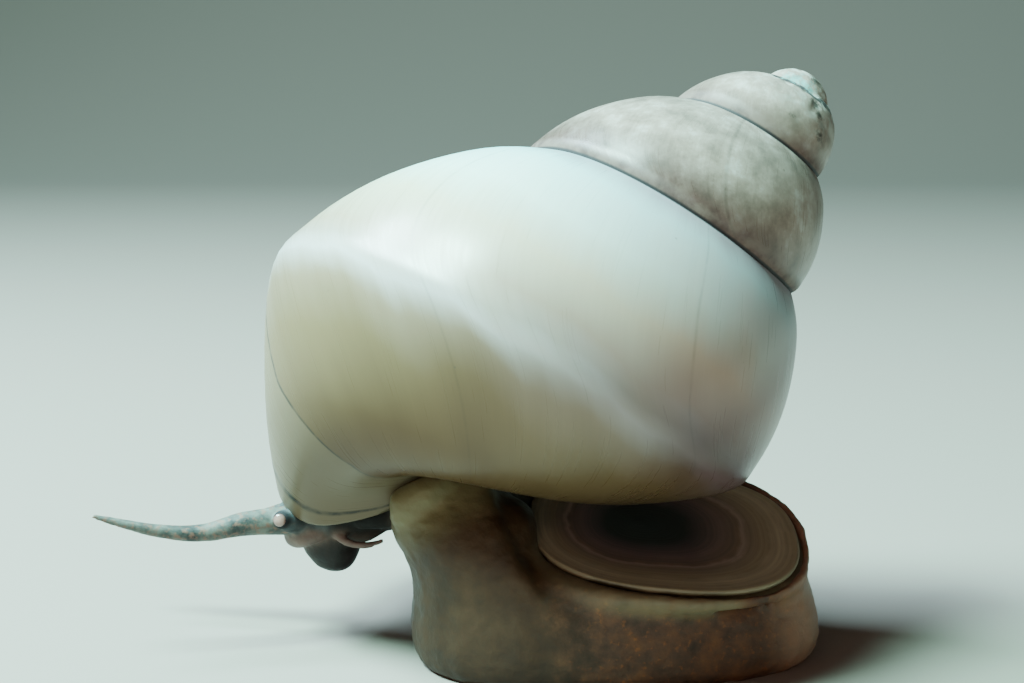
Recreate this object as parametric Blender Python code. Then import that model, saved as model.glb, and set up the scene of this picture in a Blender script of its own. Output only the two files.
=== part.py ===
# Apple snail, life size, crawling: shell, operculum and the parts of the soft body.
# Units are metres with +Z up. The head points to -X, the sole lies at z = 0.
import math

import bmesh
import bpy
from mathutils import Matrix, Vector

MM = 0.001
COLLECTION_NAME = "apple_snail"
GAP = 0.3 * MM              # clearance kept between touching parts
FAR = 60 * MM               # past the end of the snail on every side
UNDER_FLOOR = -1 * MM       # just below the sole
MERGE_UNDER = 0.01 * MM     # points of a tube closer than this become one

# Shell: a right-handed spiral that grows by one ratio each turn about its pole.
SHELL_POLE = Vector((20.1, 7.4, 45.6)) * MM   # point above the apex where the spiral would end
SPIRE_RISE = 45.3           # degrees the spire points above the horizontal
SPIRE_SWING = 18.6          # degrees the spire points to the snail's right, from straight back
SHELL_ROLL = 160.4          # degrees about the axis, sets where angle 0 lies
WHORL_GROWTH = 1.76         # size ratio from one turn to the next
FIRST_ANGLE = -1104         # degrees, where the coil starts inside the worn tip
WORN_ANGLES = (-1100, -985) # degrees between which the coil sinks into the worn tip
APEX_RADIUS = 2.8 * MM      # the rounded worn tip
APEX_DEPTH = 7.2 * MM       # its middle, down the axis from the pole
APEX_SINK = 0.15 * MM       # how far under the tip's skin the oldest coil ends
LIP_WALL = 1.0 * MM
MOUTH_START = -60           # degrees, where the last solid length of whorl ends
MOUTH_DEPTH = 36            # degrees from the lip back to the end of the open mouth
LIP_CLEAR = 4               # degrees that the hollow runs out past the lip
GROWN_LIP = 1.5             # degrees of clearance along the whorl at the lip
SPIRE_BULGE = 1.1           # mm by which the whorl before the last is fuller, at full size
BULGE_ANGLES = (-390, -270) # degrees between which that fullness fades out towards the lip
BULGE_START = (-720, -580)  # and between which it begins, on the whorl before
COLUMELLA_DEPTH = 38 * MM   # the pillar along the axis, from the pole
COLUMELLA_RADIUS = 2.6 * MM
# One whorl's section at angle 0: distance from the axis, distance from the pole,
# and the angle in degrees at which the shell's lip ends there.
WHORL_SECTION = [
    (11.3, 23.0, 108),      # suture
    (15.3, 26.4, 103),      # shoulder
    (18.85, 32.3, 95),
    (20.5, 38.2, 84),       # widest
    (20.0, 42.3, 68),
    (13.8, 49.0, 46.5),
    (8.5, 51.8, 34.5),      # base
    (4.6, 50.6, 31),
    (1.4, 45.6, 25),        # columella
    (4.3, 35.6, 45),
    (6.8, 27.1, 75),
    (8.5, 22.1, 98),
]
SECTION_STEPS = 3           # points from one section row to the next
ANGLE_STEP = 12             # degrees from one ring of the shell to the next
EARLIER_WHORL = (-480, -192)            # degrees, the length of whorl that backs the mouth
PILLAR_TAPER = 5            # how many times thinner than the tip the pillar starts
WALL_SKIN = 0.02 * MM       # keeps the mouth's inner wall off the whorl's own surface

# Foot: level outlines from the sole up, as height, front, back and half width in mm.
FOOT_LEVELS = [
    (0.0, -12.2, 16.0, 8.9),
    (0.7, -12.7, 17.0, 9.5),
    (2.2, -13.0, 17.4, 9.6),
    (4.2, -12.8, 17.0, 9.4),
    (6.2, -12.9, 16.4, 9.1),
    (8.2, -13.5, 15.6, 8.6),
    (9.6, -14.3, 14.8, 7.9),
    (11.4, -14.8, 13.6, 6.8),
    (12.4, -14.0, 12.0, 5.2),
]
FOOT_TAPER = 0.14           # how much narrower the tail is than the front
FOOT_SQUARE = 0.8           # under 1 makes the foot's ends blunter
FOOT_CUTS = (-4.6 * MM, 4.8 * MM)       # where the foot is parted along x
FOOT_TOP = 7.6 * MM         # height at which the trunk parts from the foot
FOOT_MIDDLE_TOP = 13.4 * MM # the same behind the first cut, under the operculum

# Operculum: an oval horny plate on the back of the foot, tilted down to the snail's left.
OPERCULUM_CENTRE = Vector((5.8, 0.3, 8.75)) * MM
OPERCULUM_LENGTH = 20.9 * MM
OPERCULUM_WIDTH = 19.6 * MM
OPERCULUM_SQUARE = 0.8      # under 1 makes the oval's ends blunter
OPERCULUM_SEAT_WIDTH = 28.0 * MM        # the flat it lies on, which runs past its left and right edges
OPERCULUM_THICK = 0.9 * MM
OPERCULUM_TILT = (13.8, 4.7)            # degrees down to the snail's left, and down to the tail
SEAT_TALL = 12 * MM         # how high the flesh is cleared over the seat
SEAT_FLARE = 1.6            # how much wider the space over the seat is at its top

# Trunk from the foot up into the mouth of the shell: centre, half length, half width in mm.
TRUNK_LEVELS = [
    ((-4.6, 0.0, 4.0), 7.2, 8.0),
    ((-6.2, 0.0, 9.0), 7.9, 7.7),
    ((-7.2, 0.6, 12.0), 7.6, 6.7),
    ((-8.2, 3.6, 15.0), 6.8, 6.2),
    ((-8.6, 8.0, 18.0), 6.0, 5.8),
    ((-8.6, 9.0, 21.0), 4.6, 4.6),
]
# Fold of flesh that lies round the inner end of the shell's lip.
LIP_FOLD = [(-14.6, -3.2, 11.5), (-13.2, -4.0, 12.3), (-11.6, -4.1, 13.2), (-10.0, -3.4, 14.2)]
LIP_FOLD_RADII = [0.8, 1.25, 1.3, 0.9]
MANTLE_SPAN = (-34, -12)    # degrees from the lip at which the mantle starts and ends
MANTLE_CLEAR = 0.45 * MM    # between the mantle and the wall of the shell's mouth
NECK_CUT = -14.4 * MM       # x at which the neck parts from the trunk
HEAD_CUT = -17.4 * MM       # x at which the head parts from the neck
NECK_FLOOR = 5.6 * MM       # below the underside of the neck
HEAD_FLOOR = 4.6 * MM       # below the underside of the head

# Neck and head forward from the trunk: centre, half width, half height in mm.
NECK_STATIONS = [
    ((-8.0, 3.0, 13.0), 4.4, 4.0),
    ((-12.0, 3.6, 12.1), 4.0, 3.3),
    ((-15.5, 4.0, 11.1), 3.5, 2.7),
    ((-18.5, 4.1, 10.15), 3.5, 2.5),
    ((-21.0, 4.1, 9.8), 3.2, 1.8),
    ((-22.8, 4.1, 9.5), 2.2, 1.2),
    ((-23.5, 4.1, 9.4), 0.9, 0.5),
]
HEAD_MIDDLE = 4.1 * MM      # y of the head's middle plane
# Snout hanging from the head: centre, half length, half width in mm.
SNOUT_LEVELS = [
    ((-18.9, 4.1, 9.6), 2.0, 2.3),
    ((-19.2, 4.1, 8.2), 2.25, 2.5),
    ((-19.3, 4.1, 6.9), 2.15, 2.3),
    ((-19.1, 4.1, 5.7), 1.4, 1.6),
    ((-18.9, 4.1, 5.2), 0.5, 0.6),
]
# Paired parts are given for the left side, y measured out from the head's middle plane.
UPPER_LIP = [(-19.7, 2.5, 8.8), (-21.2, 2.3, 8.4), (-22.0, 0.0, 8.1)]
UPPER_LIP_RADII = [0.6, 0.85, 0.95]
PALP = [(-18.9, 2.3, 9.1), (-18.5, 2.9, 8.5), (-17.6, 3.2, 8.1), (-16.5, 3.2, 7.95), (-15.3, 3.0, 8.2)]
PALP_RADII = [0.38, 0.34, 0.30, 0.27, 0.2]
TENTACLE_LEFT = [
    (-21.2, 1.9, 9.6), (-22.7, 2.2, 9.6), (-25.5, 3.2, 9.6), (-28.7, 4.0, 9.1),
    (-31.6, 4.6, 9.4), (-34.3, 5.1, 10.1), (-36.4, 5.4, 10.7),
]
TENTACLE_RIGHT = [
    (-21.2, 1.9, 9.5), (-22.8, 2.3, 8.9), (-25.2, 3.1, 8.15), (-28.5, 3.9, 7.35),
    (-31.3, 4.5, 7.0), (-33.7, 4.9, 7.15), (-35.6, 5.1, 7.45),
]
TENTACLE_RADII = [1.15, 1.1, 0.92, 0.66, 0.52, 0.36, 0.18]
TENTACLE_CUTS = (-26.2 * MM, -31.0 * MM)      # x at which each tentacle is parted
EYESTALK = [(-21.2, 2.2, 9.6), (-22.2, 3.3, 9.9), (-22.6, 3.95, 10.1)]
EYESTALK_RADII = [1.1, 0.95, 0.72]
EYE_CENTRE = (-22.7, 4.4, 10.2)
EYE_RADIUS = 0.62 * MM
NUCHAL_LOBE = [(-12.8, 3.2, 10.7), (-14.8, 3.5, 10.3), (-16.7, 3.3, 9.9)]
NUCHAL_LOBE_RADII = [0.8, 1.0, 0.7]

SHELL_IVORY = ("shell_ivory", (0.66, 0.63, 0.52), 0.35)
FLESH_OLIVE = ("flesh_olive", (0.12, 0.10, 0.05), 0.45)
FLESH_RUST = ("flesh_rust", (0.09, 0.04, 0.02), 0.45)
FLESH_GREY = ("flesh_grey", (0.16, 0.17, 0.18), 0.40)
SNOUT_BLACK = ("snout_black", (0.02, 0.022, 0.028), 0.35)
PALP_PINK = ("palp_pink", (0.25, 0.18, 0.16), 0.40)
HORN_BROWN = ("operculum_horn", (0.06, 0.045, 0.035), 0.40)
EYE_PEARL = ("eye_pearl", (0.45, 0.33, 0.31), 0.15)


def clear_scene():
    for item in list(bpy.data.objects):
        bpy.data.objects.remove(item, do_unlink=True)


def part_material(spec):
    name, colour, roughness = spec
    material = bpy.data.materials.get(name)
    if material is None:
        material = bpy.data.materials.new(name)
        material.use_nodes = True
        shader = material.node_tree.nodes["Principled BSDF"]
        shader.inputs["Base Color"].default_value = (*colour, 1.0)
        shader.inputs["Roughness"].default_value = roughness
        shader.inputs["Metallic"].default_value = 0.0
    return material


def to_object(bm, name, collection):
    mesh = bpy.data.meshes.new(name)
    bm.normal_update()
    bm.to_mesh(mesh)
    bm.free()
    piece = bpy.data.objects.new(name, mesh)
    collection.objects.link(piece)
    return piece


def loft(name, rings, collection):
    """A closed skin through rings of equal count, with a fan over each end."""
    bm = bmesh.new()
    rows = [[bm.verts.new(point) for point in ring] for ring in rings]
    count = len(rows[0])
    for row, following in zip(rows, rows[1:]):
        for i in range(count):
            j = (i + 1) % count
            bm.faces.new((row[i], row[j], following[j], following[i]))
    for row in (rows[0], rows[-1]):
        middle = bm.verts.new(sum((v.co for v in row), Vector()) / count)
        for i in range(count):
            bm.faces.new((row[i], row[(i + 1) % count], middle))
    bmesh.ops.recalc_face_normals(bm, faces=bm.faces)
    bmesh.ops.triangulate(bm, faces=bm.faces)
    return to_object(bm, name, collection)


def apply_modifiers(piece):
    graph = bpy.context.evaluated_depsgraph_get()
    graph.update()
    mesh = bpy.data.meshes.new_from_object(piece.evaluated_get(graph))
    old = piece.data
    piece.modifiers.clear()
    piece.data = mesh
    bpy.data.meshes.remove(old)


def combine(piece, other, operation, remove=True, crosses_itself=False):
    """Boolean of two closed pieces, the result stays in the first."""
    step = piece.modifiers.new("combine", "BOOLEAN")
    step.operation = operation
    step.solver = "EXACT" if crosses_itself else "MANIFOLD"
    step.use_self = crosses_itself
    step.object = other
    apply_modifiers(piece)
    if remove:
        bpy.data.objects.remove(other, do_unlink=True)
    return piece


def duplicate(piece, name, collection):
    copy = bpy.data.objects.new(name, piece.data.copy())
    collection.objects.link(copy)
    return copy


def largest_part(piece):
    """Keep only the biggest closed surface of a piece."""
    bm = bmesh.new()
    bm.from_mesh(piece.data)
    unseen = set(bm.verts)
    groups = []
    while unseen:
        stack = [unseen.pop()]
        group = set(stack)
        while stack:
            for edge in stack.pop().link_edges:
                for vert in edge.verts:
                    if vert in unseen:
                        unseen.discard(vert)
                        group.add(vert)
                        stack.append(vert)
        groups.append(group)

    def spread(group):
        xs = [v.co.x for v in group]
        ys = [v.co.y for v in group]
        zs = [v.co.z for v in group]
        return (max(xs) - min(xs)) + (max(ys) - min(ys)) + (max(zs) - min(zs))

    keep = max(groups, key=spread)
    for group in groups:
        if group is not keep:
            bmesh.ops.delete(bm, geom=list(group), context="VERTS")
    bm.to_mesh(piece.data)
    bm.free()
    return piece


def grown_copy(piece, distance, collection):
    """A copy with its skin moved outwards, used to cut a clearance."""
    copy = duplicate(piece, piece.name + "_grown", collection)
    bm = bmesh.new()
    bm.from_mesh(copy.data)
    bm.normal_update()
    for vert in bm.verts:
        vert.co += vert.normal * distance
    bm.to_mesh(copy.data)
    bm.free()
    return copy


def seat(piece, onto, collection, gap=GAP):
    """Cut a piece back so that it meets the part it grows from across the gap."""
    combine(piece, grown_copy(onto, gap, collection), "DIFFERENCE")
    return largest_part(piece)


def box_cell(low, high, collection):
    bm = bmesh.new()
    bmesh.ops.create_cube(bm, size=1.0)
    size = Vector(high) - Vector(low)
    bmesh.ops.scale(bm, vec=size, verts=bm.verts)
    bmesh.ops.translate(bm, vec=Vector(low) + size / 2, verts=bm.verts)
    return to_object(bm, "cell", collection)


def cell_of(whole, name, low, high, collection):
    """The part of a whole that lies inside a box."""
    part = duplicate(whole, name, collection)
    combine(part, box_cell(low, high, collection), "INTERSECT")
    return largest_part(part)


def finish(piece, name, spec):
    piece.name = name
    piece.data.name = name
    piece.data.materials.clear()
    piece.data.materials.append(part_material(spec))
    for face in piece.data.polygons:
        face.use_smooth = True
    return piece


# Shell

def shell_placement():
    turn = Matrix.Rotation(math.radians(SPIRE_SWING), 4, "Z")
    lean = Matrix.Rotation(math.radians(90 - SPIRE_RISE), 4, "Y")
    roll = Matrix.Rotation(math.radians(SHELL_ROLL), 4, "Z")
    return Matrix.Translation(SHELL_POLE) @ turn @ lean @ roll


def section_points():
    """The whorl's outline as a smooth closed line, with its outward direction at each point."""
    rows = [Vector(row) for row in WHORL_SECTION]
    count = len(rows)
    points = []
    for i in range(count):
        a, b, c, d = (rows[(i + k - 1) % count] for k in range(4))
        for step in range(SECTION_STEPS):
            t = step / SECTION_STEPS
            points.append(0.5 * (2 * b + (c - a) * t + (2 * a - 5 * b + 4 * c - d) * t ** 2
                                 + (3 * b - a - 3 * c + d) * t ** 3))
    outward = []
    for i in range(len(points)):
        along = points[(i + 1) % len(points)] - points[i - 1]
        outward.append(Vector((along.y, -along.x)).normalized())
    return points, outward


def whorl_ring(angles, grow, place):
    """A ring of the shell's skin, each point at its own angle round the axis."""
    points, outward = section_points()
    suture = WHORL_SECTION[0][0]
    widest = max(row[0] for row in WHORL_SECTION)
    ring = []
    for point, out, angle in zip(points, outward, angles):
        size = WHORL_GROWTH ** (angle / 360) * MM
        full, none = BULGE_ANGLES
        early = min(1.0, max(0.0, (none - angle) / (none - full)))
        oldest, whole = BULGE_START
        early *= min(1.0, max(0.0, (angle - oldest) / (whole - oldest)))
        fuller = SPIRE_BULGE * early * max(0.0, (point.x - suture) / (widest - suture))
        radius = (point.x + fuller) * size + out.x * grow
        depth = point.y * size + out.y * grow
        turn = math.radians(angle)
        spot = Vector((radius * math.cos(turn), -radius * math.sin(turn), -depth))
        sunken, sound = WORN_ANGLES
        worn = min(1.0, max(0.0, (sound - angle) / (sound - sunken)))
        tip = Vector((0, 0, -APEX_DEPTH))
        sunk = tip + (spot - tip).normalized() * (APEX_RADIUS - APEX_SINK + grow)
        ring.append(place @ spot.lerp(sunk, worn * worn * (3 - 2 * worn)))
    return ring


def even_angles(angle):
    return [angle] * (len(WHORL_SECTION) * SECTION_STEPS)


def lip_angles(beyond):
    points, _ = section_points()
    return [point.z + beyond for point in points]


def whorl_tube(name, stops, grow, collection):
    """A length of the coiled tube through sets of angles, one angle for each section point."""
    place = shell_placement()
    rings = [whorl_ring(stops[0], grow, place)]
    for start, end in zip(stops, stops[1:]):
        steps = max(1, round(max(b - a for a, b in zip(start, end)) / ANGLE_STEP))
        for step in range(1, steps + 1):
            share = step / steps
            angles = [a + (b - a) * share for a, b in zip(start, end)]
            rings.append(whorl_ring(angles, grow, place))
    return loft(name, rings, collection)


def apex_cap(grow, collection):
    """The worn round start of the spire."""
    bm = bmesh.new()
    bmesh.ops.create_icosphere(bm, subdivisions=3, radius=APEX_RADIUS + grow)
    bmesh.ops.translate(bm, vec=(0, 0, -APEX_DEPTH), verts=bm.verts)
    bmesh.ops.transform(bm, matrix=shell_placement(), verts=bm.verts)
    return to_object(bm, "apex_cap", collection)


def columella(collection):
    """The pillar along the axis, which fills the narrow hollow between the turns."""
    length = COLUMELLA_DEPTH - APEX_DEPTH
    bm = bmesh.new()
    bmesh.ops.create_cone(bm, cap_ends=True, cap_tris=True, segments=16,
                          radius1=COLUMELLA_RADIUS, radius2=APEX_RADIUS / PILLAR_TAPER, depth=length)
    bmesh.ops.translate(bm, vec=(0, 0, -(COLUMELLA_DEPTH + APEX_DEPTH) / 2), verts=bm.verts)
    bmesh.ops.transform(bm, matrix=shell_placement(), verts=bm.verts)
    return to_object(bm, "columella", collection)


def build_shell(grow, collection):
    """The shell with its open mouth. A positive grow gives the same shape with clearance."""
    back = lip_angles(-MOUTH_DEPTH)
    stops = [even_angles(FIRST_ANGLE), even_angles(MOUTH_START), back, lip_angles(0)]
    hollow_stops = [back, lip_angles(0), lip_angles(LIP_CLEAR)]
    if grow:
        stops.append(lip_angles(GROWN_LIP))
    shell = whorl_tube("shell", stops, grow, collection)
    combine(shell, apex_cap(grow, collection), "UNION", crosses_itself=True)
    combine(shell, columella(collection), "UNION")
    hollow = whorl_tube("hollow", hollow_stops, -(LIP_WALL + grow), collection)
    earlier = [even_angles(angle) for angle in EARLIER_WHORL]
    combine(hollow, whorl_tube("earlier", earlier, grow + WALL_SKIN, collection), "DIFFERENCE")
    combine(hollow, columella(collection), "DIFFERENCE")
    largest_part(hollow)
    combine(shell, hollow, "DIFFERENCE")
    return largest_part(shell)


# Soft body

def oval(centre, side, up, half_side, half_up, count=24):
    return [centre + side * half_side * math.cos(2 * math.pi * k / count)
            + up * half_up * math.sin(2 * math.pi * k / count) for k in range(count)]


def stack(name, levels, collection):
    """A body of level ovals, each given by its centre, half length and half width in mm."""
    rings = [oval(Vector(centre) * MM, Vector((1, 0, 0)), Vector((0, 1, 0)), long * MM, wide * MM)
             for centre, long, wide in levels]
    return loft(name, rings, collection)


def build_foot(collection):
    """The foot's side walls and sole, broad and blunt in front and narrower at the tail."""
    rings = []
    count = 32
    for height, front, back, half_width in FOOT_LEVELS:
        ring = []
        for k in range(count):
            turn = 2 * math.pi * k / count
            along = math.copysign(abs(math.cos(turn)) ** FOOT_SQUARE, math.cos(turn))
            across = math.copysign(abs(math.sin(turn)) ** FOOT_SQUARE, math.sin(turn))
            x = (front + back) / 2 + (back - front) / 2 * along
            y = half_width * across * (1 - FOOT_TAPER * along)
            ring.append(Vector((x, y, height)) * MM)
        rings.append(ring)
    return loft("foot", rings, collection)


def build_neck(collection):
    rings = [oval(Vector(centre) * MM, Vector((0, 1, 0)), Vector((0, 0, 1)), wide * MM, high * MM, 20)
             for centre, wide, high in NECK_STATIONS]
    return loft("neck", rings, collection)


def build_operculum(name, grow, collection, tall=0.0):
    """The oval plate. With a height it becomes the space cut for it from the flesh."""
    bm = bmesh.new()
    depth = OPERCULUM_THICK + 2 * grow + tall
    flare = SEAT_FLARE if tall else 1.0
    bmesh.ops.create_cone(bm, cap_ends=True, cap_tris=True, segments=48, radius1=0.5,
                          radius2=0.5 * flare, depth=depth)
    for vert in bm.verts:
        reach = math.hypot(vert.co.x, vert.co.y)
        if reach:
            for k in (0, 1):
                share = vert.co[k] / reach
                vert.co[k] = reach * math.copysign(abs(share) ** OPERCULUM_SQUARE, share)
    size = (OPERCULUM_LENGTH + 2 * grow, OPERCULUM_SEAT_WIDTH if tall else OPERCULUM_WIDTH, 1)
    bmesh.ops.scale(bm, vec=size, verts=bm.verts)
    bmesh.ops.translate(bm, vec=(0, 0, tall / 2), verts=bm.verts)
    across, along = (math.radians(angle) for angle in OPERCULUM_TILT)
    lean = Matrix.Rotation(along, 4, "Y") @ Matrix.Rotation(across, 4, "X")
    bmesh.ops.transform(bm, matrix=Matrix.Translation(OPERCULUM_CENTRE) @ lean, verts=bm.verts)
    return to_object(bm, name, collection)


def tube(name, points, radii, collection, flat=1.0):
    """A tapering round tube along a smooth line, points and radii in mm."""
    curve = bpy.data.curves.new(name, "CURVE")
    curve.dimensions = "3D"
    curve.bevel_depth = MM
    curve.bevel_resolution = 3
    curve.resolution_u = 4
    curve.use_fill_caps = True
    line = curve.splines.new("BEZIER")
    line.bezier_points.add(len(points) - 1)
    for knot, point, radius in zip(line.bezier_points, points, radii):
        knot.co = Vector(point) * MM
        knot.radius = radius
        knot.handle_left_type = "AUTO"
        knot.handle_right_type = "AUTO"
    holder = bpy.data.objects.new(name, curve)
    collection.objects.link(holder)
    bpy.context.view_layer.update()
    graph = bpy.context.evaluated_depsgraph_get()
    mesh = bpy.data.meshes.new_from_object(holder.evaluated_get(graph))
    bpy.data.objects.remove(holder, do_unlink=True)
    bm = bmesh.new()
    bm.from_mesh(mesh)
    bmesh.ops.remove_doubles(bm, verts=bm.verts, dist=MERGE_UNDER)
    bmesh.ops.recalc_face_normals(bm, faces=bm.faces)
    bmesh.ops.triangulate(bm, faces=bm.faces)
    bpy.data.meshes.remove(mesh)
    return to_object(bm, name, collection)


def ball(name, centre, radius, collection):
    bm = bmesh.new()
    bmesh.ops.create_icosphere(bm, subdivisions=3, radius=radius)
    bmesh.ops.translate(bm, vec=centre, verts=bm.verts)
    return to_object(bm, name, collection)


def on_side(points, side):
    """Points given out from the head's middle plane, put on the left (-1) or right (1) side."""
    middle = HEAD_MIDDLE / MM
    return [(x, middle + side * out, z) for x, out, z in points]


def build_body(shell_space, collection):
    """Foot, trunk, neck and head as one, then parted by thin cuts."""
    whole = build_foot(collection)
    combine(whole, stack("trunk", TRUNK_LEVELS, collection), "UNION")
    combine(whole, build_neck(collection), "UNION")
    combine(whole, tube("lip_fold", LIP_FOLD, LIP_FOLD_RADII, collection), "UNION")
    combine(whole, shell_space, "DIFFERENCE", remove=False)
    seat_space = build_operculum("seat", GAP, collection, tall=SEAT_TALL)
    combine(whole, seat_space, "DIFFERENCE")
    largest_part(whole)
    half = GAP / 2
    first, second = FOOT_CUTS
    cells = {
        "foot_front": ((-FAR, -FAR, UNDER_FLOOR), (first - half, FAR, FOOT_TOP - half)),
        "foot_middle": ((first + half, -FAR, UNDER_FLOOR), (second - half, FAR, FOOT_MIDDLE_TOP - half)),
        "foot_tail": ((second + half, -FAR, UNDER_FLOOR), (FAR, FAR, FAR)),
        "neck": ((HEAD_CUT + half, -FAR, NECK_FLOOR), (NECK_CUT - half, FAR, FAR)),
        "head": ((-FAR, -FAR, HEAD_FLOOR), (HEAD_CUT - half, FAR, FAR)),
    }
    parts = {name: cell_of(whole, name, low, high, collection) for name, (low, high) in cells.items()}
    trunk = duplicate(whole, "trunk", collection)
    cell = box_cell((NECK_CUT + half, -FAR, FOOT_TOP + half), (first - half, FAR, FAR), collection)
    upper = box_cell((first - 2 * half, -FAR, FOOT_MIDDLE_TOP + half), (second, FAR, FAR), collection)
    combine(cell, upper, "UNION")
    combine(trunk, cell, "INTERSECT")
    parts["trunk"] = largest_part(trunk)
    bpy.data.objects.remove(whole, do_unlink=True)
    return parts


def build_mantle(shell, shell_space, collection):
    """The fleshy collar that fills the mouth of the shell, set back from the lip."""
    stops = [lip_angles(beyond) for beyond in MANTLE_SPAN]
    mantle = whorl_tube("mantle", stops, -(LIP_WALL + MANTLE_CLEAR), collection)
    combine(mantle, shell_space, "DIFFERENCE", remove=False)
    return seat(mantle, shell, collection)


def build_tentacle(side, name, points, head, collection):
    whole = tube(name, on_side(points, side), TENTACLE_RADII, collection)
    half = GAP / 2
    near, outer = TENTACLE_CUTS
    spans = {"base": (near + half, FAR), "middle": (outer + half, near - half), "tip": (-FAR, outer - half)}
    pieces = {}
    for length, (low, high) in spans.items():
        part = name + "_" + length
        pieces[part] = cell_of(whole, part, (low, -FAR, -FAR), (high, FAR, FAR), collection)
    bpy.data.objects.remove(whole, do_unlink=True)
    seat(pieces[name + "_base"], head, collection)
    return pieces


def main():
    clear_scene()
    snail = bpy.data.collections.new(COLLECTION_NAME)
    bpy.context.scene.collection.children.link(snail)
    shell = finish(build_shell(0.0, snail), "shell", SHELL_IVORY)
    shell_space = build_shell(GAP, snail)

    body = build_body(shell_space, snail)
    mantle = build_mantle(shell, shell_space, snail)
    for name in ("trunk", "neck"):
        seat(body[name], mantle, snail)
    finish(mantle, "mantle", FLESH_GREY)
    for name in ("foot_front", "foot_middle", "trunk"):
        finish(body[name], name, FLESH_OLIVE)
    finish(body["foot_tail"], "foot_tail", FLESH_RUST)
    finish(body["neck"], "neck", FLESH_GREY)
    head = body["head"]

    snout = stack("snout", SNOUT_LEVELS, snail)
    seat(snout, head, snail)
    seat(snout, body["neck"], snail)
    lip_line = on_side(UPPER_LIP, -1) + list(reversed(on_side(UPPER_LIP[:-1], 1)))
    lip = tube("upper_lip", lip_line, UPPER_LIP_RADII + UPPER_LIP_RADII[-2::-1], snail)
    seat(lip, head, snail)
    seat(lip, snout, snail)
    for side, word in ((-1, "left"), (1, "right")):
        points = TENTACLE_LEFT if side < 0 else TENTACLE_RIGHT
        pieces = build_tentacle(side, "tentacle_" + word, points, head, snail)
        eye = ball("eye_" + word, Vector(on_side([EYE_CENTRE], side)[0]) * MM, EYE_RADIUS, snail)
        stalk = tube("eyestalk_" + word, on_side(EYESTALK, side), EYESTALK_RADII, snail)
        combine(stalk, shell_space, "DIFFERENCE", remove=False)
        seat(stalk, head, snail)
        seat(stalk, pieces["tentacle_" + word + "_base"], snail)
        seat(stalk, eye, snail)
        seat(lip, stalk, snail)
        seat(lip, pieces["tentacle_" + word + "_base"], snail)
        palp = tube("labial_palp_" + word, on_side(PALP, side), PALP_RADII, snail)
        seat(palp, head, snail)
        seat(palp, snout, snail)
        lobe = tube("nuchal_lobe_" + word, on_side(NUCHAL_LOBE, side), NUCHAL_LOBE_RADII, snail)
        combine(lobe, shell_space, "DIFFERENCE", remove=False)
        for part in (body["neck"], body["trunk"], head, mantle):
            seat(lobe, part, snail)
        for name, piece in pieces.items():
            finish(piece, name, FLESH_GREY)
        finish(stalk, stalk.name, FLESH_GREY)
        finish(eye, eye.name, EYE_PEARL)
        finish(palp, palp.name, PALP_PINK)
        finish(lobe, lobe.name, FLESH_GREY)
    finish(lip, "upper_lip", PALP_PINK)
    finish(head, "head", FLESH_GREY)
    finish(snout, "snout", SNOUT_BLACK)
    finish(build_operculum("operculum", 0.0, snail), "operculum", HORN_BROWN)
    bpy.data.objects.remove(shell_space, do_unlink=True)


main()
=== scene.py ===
import math

import bpy
from mathutils import Matrix, Vector, bvhtree, noise


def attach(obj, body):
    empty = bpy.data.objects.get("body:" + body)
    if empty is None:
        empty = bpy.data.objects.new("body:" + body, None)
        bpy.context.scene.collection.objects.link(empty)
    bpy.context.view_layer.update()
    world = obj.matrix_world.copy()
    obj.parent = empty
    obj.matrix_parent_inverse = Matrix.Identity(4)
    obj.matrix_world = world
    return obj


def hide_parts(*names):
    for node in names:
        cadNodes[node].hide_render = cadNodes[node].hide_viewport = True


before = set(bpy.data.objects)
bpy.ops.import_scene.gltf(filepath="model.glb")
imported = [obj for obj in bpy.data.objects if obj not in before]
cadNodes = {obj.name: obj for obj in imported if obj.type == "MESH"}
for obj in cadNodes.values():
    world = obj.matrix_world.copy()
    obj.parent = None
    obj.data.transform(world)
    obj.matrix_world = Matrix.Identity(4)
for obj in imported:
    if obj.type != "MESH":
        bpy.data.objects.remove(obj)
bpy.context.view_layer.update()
mm = 0.001


def editMode(select=None):
    bpy.ops.object.mode_set(mode="EDIT")
    if select:
        bpy.ops.mesh.select_all(action=select)


def objectMode():
    bpy.ops.object.mode_set(mode="OBJECT")


def looseStart():
    if bpy.context.object and bpy.context.object.mode != "OBJECT":
        objectMode()
    bpy.ops.object.select_all(action="DESELECT")


def pick(*objs):
    looseStart()
    for obj in objs:
        obj.select_set(True)
    bpy.context.view_layer.objects.active = objs[0]


def joinAs(name, objs):
    pick(*objs)
    if len(objs) > 1:
        bpy.ops.object.join()
    whole = bpy.context.object
    whole.name = name
    whole.data.name = name
    return whole


def modify(obj, kind, **settings):
    pick(obj)
    step = obj.modifiers.new(kind.lower(), kind)
    for key, value in settings.items():
        setattr(step, key, value)
    bpy.ops.object.modifier_apply(modifier=step.name)


def smooth(obj):
    pick(obj)
    bpy.ops.object.shade_smooth()


def settle(obj):
    pick(obj)
    bpy.ops.object.transform_apply(location=True, rotation=True, scale=True)
    return obj


def ease(value, low, high):
    t = min(1.0, max(0.0, (value - low) / (high - low)))
    return t * t * (3 - 2 * t)


def writeValues(obj, name, values):
    spot = obj.data.attributes.new(name, "FLOAT", "POINT")
    spot.data.foreach_set("value", values)


def readValues(obj, name):
    return [item.value for item in obj.data.attributes[name].data]


def linear(hexColour):
    parts = [int(hexColour[k:k + 2], 16) / 255 for k in (0, 2, 4)]
    return tuple(c / 12.92 if c <= 0.04045 else ((c + 0.055) / 1.055) ** 2.4 for c in parts) + (1.0,)


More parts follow.
